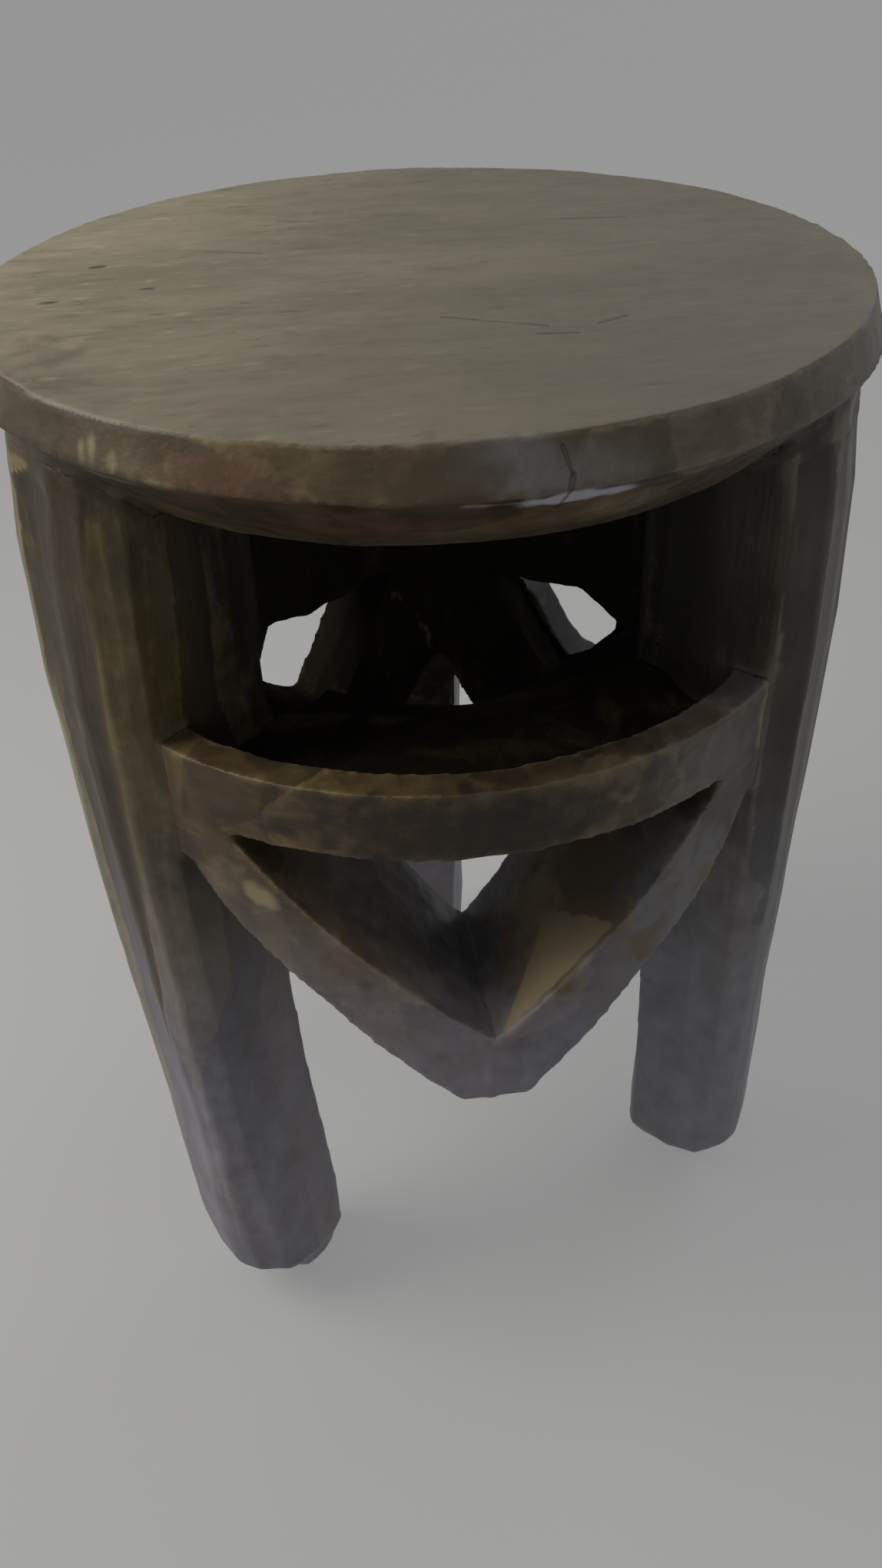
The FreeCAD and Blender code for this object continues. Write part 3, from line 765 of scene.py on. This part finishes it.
def down_the_leg(side):
    """Points as a tool sees them that runs down this leg: across, inwards and up."""
    angle = math.radians(FEET[side]["turn"])

    def tool_path(points, normals):
        out = points[:, 0] * math.cos(angle) + points[:, 1] * math.sin(angle)
        across = points[:, 1] * math.cos(angle) - points[:, 0] * math.sin(angle)
        slices = np.linspace(points[:, 2].min(), points[:, 2].max(), 24)
        middles = []
        for height in slices:
            near = abs(points[:, 2] - height) < 10 * MM
            middles.append([(row[near].min() + row[near].max()) / 2 for row in (across, out)])
        middles = np.array(middles)
        return np.stack([row - np.interp(points[:, 2], slices, middles[:, number])
                         for number, row in enumerate((across, out))] + [points[:, 2]], axis=1)
    return tool_path


# On the left leg: a dark strip of painted shade down its inner front face, and a pale painted
# highlight at its outer edge.
STRIP = [("umber", ((-132, -76, 419), (-115, -98, 419), (-122, -88, 150)), 0.95),
         ("painted_shade", ((-132, -76, 419), (-115, -98, 419), (-122, -88, 200)), 0.5),
         ("pale", ((-133, -70, 330), (-141, -56, 330), (-131, -66, 30)), 0.5),
         ("pale", ((-133, -70, 330), (-131, -66, 30), (-125, -78, 30)), 0.5)]
for side in FEET:
    carve(side + "_leg", down_the_leg(side), [((18, 18, 700), 1.3, 23), ((13, 13, 60), 0.3, 22)],
          facets=STRIP if side == "left" else ())
    hand_over(side + "_leg", leg_wood)


# The inside: a core under the seat, a fin from it to each leg and a strut under each fin.
# It is hollowed with a gouge, left rough, and blackened by smoke and dust, and its hues are
# made darker still as painted shade.
inner_wood = old_wood("inner_wood", tone(18, 16, 13), tone(32, 28, 22), tone(72, 60, 43),
                      (240, 240, 20), cloud=30, gloss=0.85, relief=1.0, shine=0.05,
                      smoked_and_shaded=(26, 24, 20))
# A thin edge on the left strut catches the light.
RIDGE = [("brown", ((-10, -23, 314), (-2, -18, 289), (-4, -19, 304)), 0.6),
         ("brown", ((-21, -29, 325), (-12, -25, 317), (-15, -27, 323)), 0.5)]
for node in ["centre_hub"] + [side + form for side in FEET for form in ("_rib", "_strut")]:
    carve(node, as_it_is, [((9, 9, 60), 1.0, 31), ((16, 16, 30), 0.6, 32)],
          facets=RIDGE if node == "left_strut" else ())
    hand_over(node, inner_wood)


# The rim bands: an upright strip between two legs in each bay, with a ledge behind it where
# the chamber's floor starts. Knife-cut, and rubbed bright along its upper edge. Under it two
# walls run together to a point, the basket, with a tunnel cut through above them.
band_wood = old_wood("band_wood", tone(48, 39, 25), tone(86, 72, 47), tone(116, 100, 68),
                     (60, 60, 200), cloud=24, gloss=0.42, floor_sheen=(0.9, 0.17, 0.29), relief=0.6,
                     facets=0.9, shine=0.3)
# From the photo, in mm: the front bay is dark in the middle of its band and grey on
# the right, and its right wall has one pale fresh cut.
BAND_MARKS = {
    "_rim_band": [
        # Painted shade darkens the band's middle, and a painted grey sheen lies on its right.
        ("painted_shade", (-15, -141, 300), (62, 20, 14), 0.75),
        ("rust", (-30, -138, 300), (20, 20, 9), 0.4), ("ochre", (104, -97, 296), (3, 3, 14), 1),
        ("grey", (78, -120, 300), (30, 22, 16), 0.45),
        ("rust", (-88, -112, 303), (12, 12, 9), 0.4),
        ("painted_shade", (-10, -138, 315), (60, 20, 4), 0.5), ("grey", (92, -98, 316), (30, 18, 3), 0.5)],
    "_basket_left_wall": [
        ("ochre", (-77, -120, 264), (5, 5, 4), 1), ("rust", (-50, -133, 243), (16, 16, 9), 0.45),
        ("ochre", (-90, -110, 268), (10, 10, 9), 0.4),
        # Painted shade darkens this wall near the middle.
        ("painted_shade", (-30, -90, 232), (40, 36, 26), 0.5)],
    "_basket_right_wall": [
        # Partly painted light: the brown and ochre blots lighten this wall inside the tunnel, and
        # the grey one is a painted sheen.
        ("brown", (33, -98, 234), (36, 34, 22), 1.2), ("ochre", (22, -94, 223), (17, 16, 12), 0.8),
        ("grey", (66, -124, 238), (42, 26, 34), 0.75)],
}
FRESH_CUT = {"_basket_right_wall": [
    ("ochre", ((25, -102, 227), (44, -131, 244), (2, -140, 205)), 1.4)]}
FLOOR_MARKS = [
    ("brown", (-56, -64, 297), (26, 5, 5), 0.45), ("brown", (-27, -68, 297), (9, 3, 5), 0.5),
    ("brown", (52, -77, 297), (4, 13, 5), 0.45), ("brown", (84, -80, 300), (17, 5, 8), 0.45),
    ("brown", (-74, -90, 297), (14, 4, 5), 0.45), ("umber", (8, -92, 297), (34, 6, 5), 0.5),
    ("umber", (30, -62, 297), (26, 4, 5), 0.5),
]
# How far the hidden bays' inner faces are blackened, by soot and as painted shade.
HIDDEN_BAY_SOOT_AND_SHADE = 0.85
for bay in ("front", "right", "left"):
    for form in ("_rim_band", "_basket_left_wall", "_basket_right_wall"):
        carve(bay + form, round_the_stool, [((26, 26, 36), 0.5, 41), ((10, 12, 22), 0.2, 42)],
              marks=BAND_MARKS[form] if bay == "front" else (),
              facets=FRESH_CUT.get(form, ()) if bay == "front" else (),
              soot_and_shade=0 if bay == "front" else HIDDEN_BAY_SOOT_AND_SHADE)
        hand_over(bay + form, band_wood)
    carve(bay + "_shelf", as_it_is, [((22, 13, 30), 1.0, 44), ((9, 5, 30), 0.3, 45)],
          marks=FLOOR_MARKS if bay == "front" else ())
    hand_over(bay + "_shelf", inner_wood)

# The common skin has done its work.
bpy.data.objects.remove(skin)
